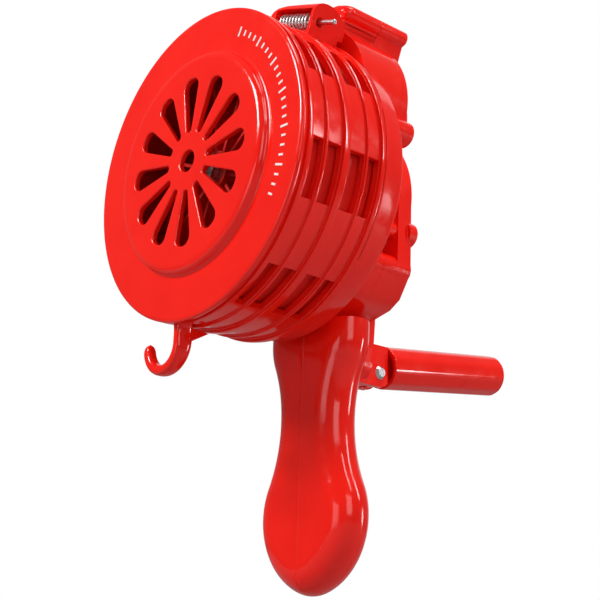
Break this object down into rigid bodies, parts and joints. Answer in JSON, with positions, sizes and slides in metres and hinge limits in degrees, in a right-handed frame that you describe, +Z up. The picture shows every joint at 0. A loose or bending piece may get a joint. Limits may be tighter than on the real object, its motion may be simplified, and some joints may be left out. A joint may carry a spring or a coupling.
{
  "type": "hand crank siren",
  "caption": "Hand-held crank siren: slotted front cover, finned drum, gear case, bulb handle, folding crank grip, hanging hook and a spring-loaded brake pin.",
  "frame": {"origin": "middle of the hand grip at the neck of the handle, on the seam between the two handle halves", "axes": "+Z up along the handle towards the drum; -Y towards the slotted sound side; +Y towards the crank; +X right as seen from the front"},
  "size_m": [0.15, 0.2175, 0.2844],
  "materials": {
    "red_plastic": "glossy moulded ABS, red",
    "rotor_plastic": "moulded, red",
    "gear_plastic": "natural acetal, satin",
    "steel": "zinc plated",
    "bearing_steel": "ground bearing steel",
    "bronze": "sintered bronze"
  },
  "bodies": {
    "housing": {"front_cover": "red_plastic", "stator_drum": "red_plastic", "hanging_hook": "red_plastic", "gear_housing": "red_plastic", "rear_cover": "red_plastic", "handle_left": "red_plastic", "handle_right": "red_plastic", "crank_bushing": "bronze", "bearing_front": "bearing_steel", "bearing_rear": "bearing_steel", "idler_shaft": "steel", "idler_washers": "steel", "rear_cover_screws": "steel", "lobe_screws": "steel", "handle_screws": "steel", "drum_screws": "steel", "brake_spring": "steel"},
    "rotor_group": {"rotor": "rotor_plastic", "rotor_shaft": "steel", "rotor_nut": "steel", "rotor_pinion": "gear_plastic"},
    "idler_group": {"idler_gear": "gear_plastic"},
    "crank_group": {"crank_gear": "gear_plastic", "gear_pin": "steel", "crank_shaft": "steel", "crank_arm": "red_plastic", "crank_screw": "steel", "crank_washer": "steel", "grip_rivet": "steel"},
    "knuckle_group": {"grip_knuckle": "red_plastic", "grip_washer": "steel", "grip_screw": "steel"},
    "grip_sleeve": {"crank_grip": "red_plastic"},
    "brake_group": {"brake_pin": "steel", "brake_finger": "steel"}
  },
  "joints": [
    {"name": "rotor_spin", "type": "hinge", "parent": "housing", "child": "rotor_group", "pos_m": [0, -0.0525, 0.12], "axis": [0, 1, 0], "continuous": true},
    {"name": "idler_spin", "type": "hinge", "parent": "housing", "child": "idler_group", "pos_m": [0.01539, -0.0075, 0.16229], "axis": [0, 1, 0], "continuous": true},
    {"name": "crank_spin", "type": "hinge", "parent": "housing", "child": "crank_group", "pos_m": [0, 0.0175, 0.12], "axis": [0, 1, 0], "continuous": true},
    {"name": "grip_fold", "type": "hinge", "parent": "crank_group", "child": "knuckle_group", "pos_m": [0, 0.0355, 0.0405], "axis": [-1, 0, 0], "range_deg": [0, 95]},
    {"name": "grip_spin", "type": "hinge", "parent": "knuckle_group", "child": "grip_sleeve", "pos_m": [0, 0.08468, 0.05027], "axis": [0, 0.9925, 0.1219], "continuous": true},
    {"name": "brake_push", "type": "slide", "parent": "housing", "child": "brake_group", "axis": [-0.9455, 0, 0.3256], "range_m": [0, 0.006], "stiffness_N_per_m": 250, "springref_m": -0.006, "deforming": ["brake_spring"]}
  ],
  "couplings": [
    {"joint": "idler_spin", "follows": "rotor_spin", "ratio": -0.33333},
    {"joint": "crank_spin", "follows": "rotor_spin", "ratio": 0.066667}
  ]
}
